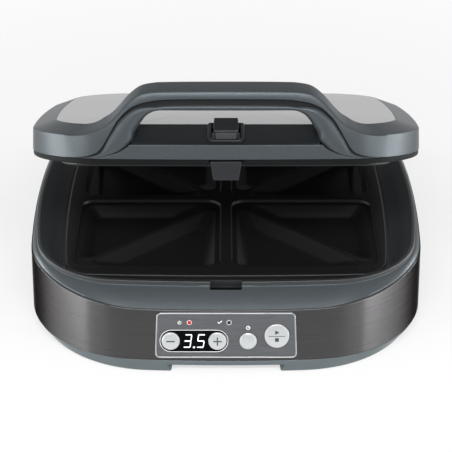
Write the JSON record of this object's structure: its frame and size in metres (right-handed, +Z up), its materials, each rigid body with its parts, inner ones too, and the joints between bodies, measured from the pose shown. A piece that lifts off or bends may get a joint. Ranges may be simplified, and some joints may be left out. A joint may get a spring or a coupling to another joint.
{
  "type": "sandwich maker",
  "caption": "Countertop sandwich maker with hinged lid, arched handle, latch, non-stick pocket plates and a sloping front control panel with display and push buttons.",
  "frame": {"origin": "on the counter under the middle of the object's box, which is under the middle of the lower plate", "axes": "+X to the right as seen from the front, +Y to the rear hinge, +Z up"},
  "size_m": [0.35, 0.3852, 0.2297],
  "materials": {
    "black_gloss_plastic": "gloss",
    "black_plastic": "satin",
    "black_rubber": "matt",
    "brushed_titanium_steel": "dark brushed",
    "circuit_board": "lacquered",
    "dark_grip_plastic": "satin",
    "dark_lens": "translucent",
    "heater_steel": "matt",
    "nonstick_aluminium": "non-stick coated",
    "pale_grey_plastic": "fine texture",
    "panel_grey_plastic": "satin",
    "red_lens": "translucent",
    "reflector_aluminium": "mill finish",
    "satin_aluminium": "satin",
    "silver_plastic": "satin metallic",
    "slate_plastic": "satin",
    "titanium_paint": "satin metallic",
    "white_ceramic": "matt",
    "white_plastic": "gloss",
    "zinc_steel": "zinc plated"
  },
  "bodies": {
    "base": {"base_pan": "pale_grey_plastic", "rubber_feet": "black_rubber", "base_screws": "zinc_steel", "side_band": "brushed_titanium_steel", "top_frame": "slate_plastic", "latch_catch": "zinc_steel", "lower_plate": "nonstick_aluminium", "lower_heater": "heater_steel", "lower_reflector": "reflector_aluminium", "lower_plate_screws": "zinc_steel", "thermal_cutout": "white_ceramic", "panel_fascia": "panel_grey_plastic", "panel_trim": "satin_aluminium", "display_ring": "white_plastic", "display_window": "black_gloss_plastic", "display_module": "black_plastic", "power_lamp": "red_lens", "ready_lamp": "dark_lens", "control_board": "circuit_board", "board_screws": "zinc_steel", "key_switches": "black_plastic", "power_board": "circuit_board", "power_relay": "black_plastic", "transformer": "zinc_steel", "terminal_block": "white_plastic", "rear_cover": "slate_plastic", "cord_gland": "black_rubber", "hinge_brackets": "zinc_steel", "hinge_pins": "zinc_steel", "bracket_screws": "zinc_steel"},
    "lid": {"lid_rim": "black_plastic", "lid_frame": "slate_plastic", "lid_top_panel": "titanium_paint", "front_trim": "slate_plastic", "finger_recess": "black_plastic", "latch_bezel": "black_plastic", "handle_upper": "slate_plastic", "handle_lower": "dark_grip_plastic", "handle_screws": "zinc_steel", "upper_plate": "nonstick_aluminium", "upper_heater": "heater_steel", "upper_reflector": "reflector_aluminium", "upper_plate_screws": "zinc_steel", "lid_thermostat": "white_ceramic", "hinge_arms": "zinc_steel", "hinge_arm_screws": "zinc_steel", "lid_screws": "zinc_steel", "latch_pin": "zinc_steel", "latch_spring": "zinc_steel"},
    "latch": {"latch_lever": "slate_plastic", "latch_button": "black_plastic"},
    "minus_button": {"minus_button": "silver_plastic"},
    "plus_button": {"plus_button": "silver_plastic"},
    "extra_button": {"extra_button": "silver_plastic"},
    "start_button": {"start_button": "silver_plastic"}
  },
  "joints": [
    {"name": "lid_hinge", "type": "hinge", "parent": "base", "child": "lid", "pos_m": [0, 0.168, 0.072], "axis": [-1, 0, 0], "range_deg": [-18.1, 80]},
    {"name": "latch_pivot", "type": "hinge", "parent": "lid", "child": "latch", "pos_m": [0, -0.13178, 0.1784], "axis": [-1, 0, 0], "range_deg": [0, 7.5], "stiffness_Nm_per_rad": 0.4, "springref_deg": -5.73},
    {"name": "minus_button_press", "type": "slide", "parent": "base", "child": "minus_button", "axis": [0, 0.9659, -0.2588], "range_m": [0, 0.001], "stiffness_N_per_m": 900, "springref_m": -0.0004},
    {"name": "plus_button_press", "type": "slide", "parent": "base", "child": "plus_button", "axis": [0, 0.9659, -0.2588], "range_m": [0, 0.001], "stiffness_N_per_m": 900, "springref_m": -0.0004},
    {"name": "extra_button_press", "type": "slide", "parent": "base", "child": "extra_button", "axis": [0, 0.9659, -0.2588], "range_m": [0, 0.001], "stiffness_N_per_m": 900, "springref_m": -0.0004},
    {"name": "start_button_press", "type": "slide", "parent": "base", "child": "start_button", "axis": [0, 0.9659, -0.2588], "range_m": [0, 0.001], "stiffness_N_per_m": 900, "springref_m": -0.0004}
  ]
}
